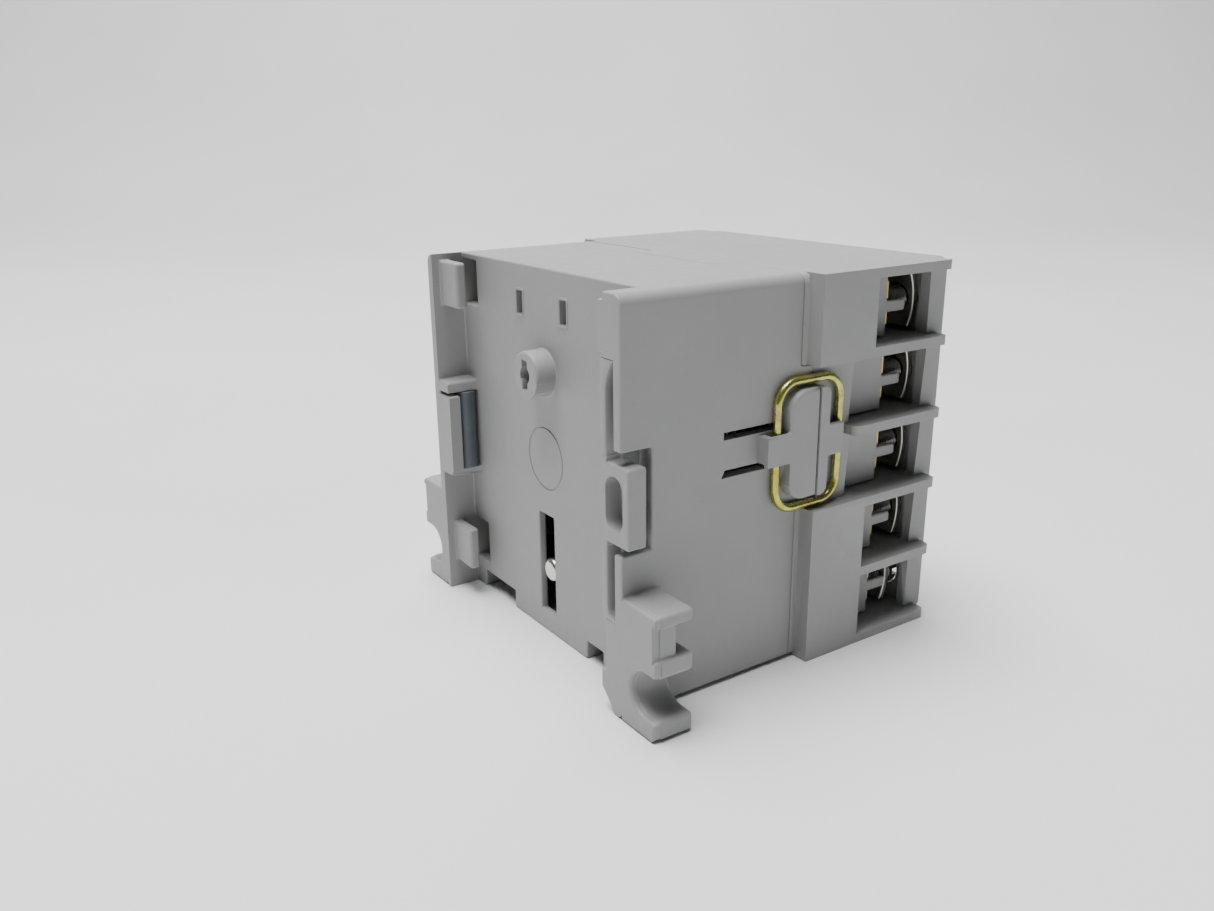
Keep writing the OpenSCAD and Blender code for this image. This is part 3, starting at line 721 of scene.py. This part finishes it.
def add_magnet():
    steel = laminated_material()
    laminate("fixed_core", steel, MAGNET_PLATES)
    laminate("armature", steel, MAGNET_PLATES)
    copper = metal_material("copper", (0.62, 0.28, 0.16), 0.3, (0.1, 1, 1))
    for end in ENDS:
        moulded(f"shading_ring_{end}", copper, 0.12)
    moulded("coil_bobbin", plastic_material("bobbin_plastic", (0.62, 0.58, 0.46), 0.4, 0.5), 0.15)
    moulded("armature_pin", metal_material("pin_steel", (0.6, 0.6, 0.58), 0.25, (1, 1, 0.08)), 0.25)
    tinned = metal_material("tinned_brass", (0.68, 0.67, 0.62), 0.28)
    for end in ENDS:
        moulded(f"coil_terminal_{end}", tinned, 0.14, 4, lambda p: 0.6 if p.x < 1.4 else 0.14, 0.6)
    lo, hi = limits("coil_winding")
    centre, half = (lo + hi) / 2, (hi - lo) / 2
    wire = 0.14
    turns = int((hi.x - lo.x) / (2 * wire))
    pitch = (hi.x - lo.x - 2 * wire) / (turns - 1)
    bm = bmesh.new()
    bm.from_mesh(NODES["coil_winding"].data)
    for v in bm.verts:
        # The lower layers stay just under the outer one
        for axis in (1, 2):
            offset = v.co[axis] / MM - centre[axis]
            if abs(abs(offset) - half[axis]) < 0.01:
                v.co[axis] = (centre[axis] + math.copysign(half[axis] - 0.8 * wire, offset)) * MM
    loop = rounded_loop(half.y - wire, half.z - wire, 0.8, 4)
    for k in range(turns):
        x = lo.x + wire + pitch * k
        path = [Vector((x + pitch * 0.5 * i / len(loop), centre.y + a, centre.z + c)) * MM
                for i, (a, c) in enumerate(loop)]
        tube(bm, path, wire * MM, 8, closed=True)
    finish_piece(shade(add_object("coil_winding_piece", bm)), enamel_material(), "coil_winding")


def add_carrier():
    moulded("contact_carrier", plastic_material("carrier_plastic", (0.05, 0.05, 0.052), 0.42), 0.2)
    steel = metal_material("spring_steel", (0.56, 0.56, 0.55), 0.28, (1, 0.4, 0.4))
    (x0, y0, z0), (x1, y1, z1) = limits("return_springs")
    wire, radius = 0.25, 1.9
    bm = bmesh.new()
    for y in (y0 + radius + wire, y1 - radius - wire):
        tube(bm, spring_path(x0, x1, radius, wire, 8, (y, (z0 + z1) / 2)), wire * MM, 10)
    springs = add_object("return_springs_piece", bm)
    finish_piece(shade(springs), steel, "return_springs", moves=False)
    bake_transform(springs)
    (x0, y0, z0), (x1, y1, z1) = limits("contact_springs")
    bm = bmesh.new()
    for p in POLES:
        lo, hi = limits(f"contact_bridge_{p}")
        centre = (lo + hi) / 2
        tube(bm, spring_path(x0, x1, 1.45, 0.2, 4, (centre.y, centre.z), 24), 0.2 * MM, 8)
    finish_piece(shade(add_object("contact_springs_piece", bm)), steel, "contact_springs")
    copper = metal_material("bridge_copper", (0.66, 0.34, 0.20), 0.3, (1, 0.08, 1))
    for p in POLES:
        moulded(f"contact_bridge_{p}", copper, 0.16)
    silver = metal_material("silver_tip", (0.80, 0.79, 0.75), 0.24, scratches=0.2)
    for node in ("moving_tips", "fixed_tips"):
        moulded(node, silver, 0.2)


def add_terminals():
    brass = metal_material("contact_brass", (0.58, 0.42, 0.15), 0.28, (1, 0.1, 1))
    for end in ENDS:
        for p in POLES:
            moulded(f"fixed_contact_{end}_{p}", brass, 0.14)
    clamps = metal_material("clamp_nickel", (0.58, 0.57, 0.51), 0.34, (1, 0.15, 1), (0.70, 0.69, 0.62))
    # The screws' dark tone is painted shade for the terminal bays behind the clamps.
    painted_shade_screws = metal_material("screw_steel_painted_shade", SCREW_PAINTED_SHADE, 0.38, (1, 1, 1))
    shape = screw_mesh()
    for end in ENDS:
        for i in BAYS:
            moulded(f"terminal_clamp_{end}_{i}", clamps, 0.16)
            node = f"terminal_screw_{end}_{i}"
            lo, hi = limits(node)
            mesh = shape.copy()
            up = hi.x - limits("terminal_screw_near_0")[1].x
            mesh.transform(Matrix.Translation(Vector((up, (lo.y + hi.y) / 2, (lo.z + hi.z) / 2)) * MM))
            obj = bpy.data.objects.new(node + "_piece", mesh)
            bpy.context.scene.collection.objects.link(obj)
            finish_piece(shade(obj, 40), painted_shade_screws, node)


def screw_mesh():
    """A terminal screw about the X axis: threaded shank, rounded head, slot and cross."""
    lo, hi = limits("terminal_screw_near_0")
    radius, shank, pitch = (hi.z - lo.z) / 2, SHANK_R, THREAD_PITCH
    head_x = hi.x - HEAD_H
    rows = [(lo.x, lambda a: shank - 0.55), (lo.x + 0.25, lambda a: shank - 0.3)]
    steps = int((head_x - 0.6 - lo.x - 0.4) / pitch * 6)
    for k in range(steps):
        x = lo.x + 0.4 + k * pitch / 6

        def ridge(a, x=x):
            phase = (x / pitch - a / (2 * math.pi)) % 1
            return shank - 0.28 * min(1, abs(2 * phase - 1) * 1.3)
        rows.append((x, ridge))
    rows += [(head_x - 0.4, lambda a: shank - 0.25), (head_x, lambda a: shank - 0.05)]
    rows += [(head_x, lambda a: radius - 0.3), (head_x + 0.08, lambda a: radius - 0.1),
             (head_x + 0.25, lambda a: radius)]
    for k in range(6):
        t = math.pi / 2 * k / 5
        rows.append((hi.x - 0.3 + 0.3 * math.sin(t), lambda a, t=t: radius - 0.35 + 0.35 * math.cos(t)))
    bm = bmesh.new()
    spin(bm, rows, 36, (0, 0))
    obj = add_object("screw_shape", bm)
    bm = bmesh.new()
    block(bm, (hi.x - SLOT_D, -4, -0.4), (hi.x + 1, 4, 0.4))
    obj = cut(obj, add_object("slot_tool", bm))
    bm = bmesh.new()
    block(bm, (hi.x - SLOT_D, -0.4, -1.4), (hi.x + 1, 0.4, 1.4))
    obj = cut(obj, add_object("cross_tool", bm))
    mesh = obj.data
    bpy.data.objects.remove(obj)
    return mesh


# ---- The scene ----

add_camera()
add_light()
add_backdrop()
add_housings()
add_rings()
add_magnet()
add_carrier()
add_terminals()
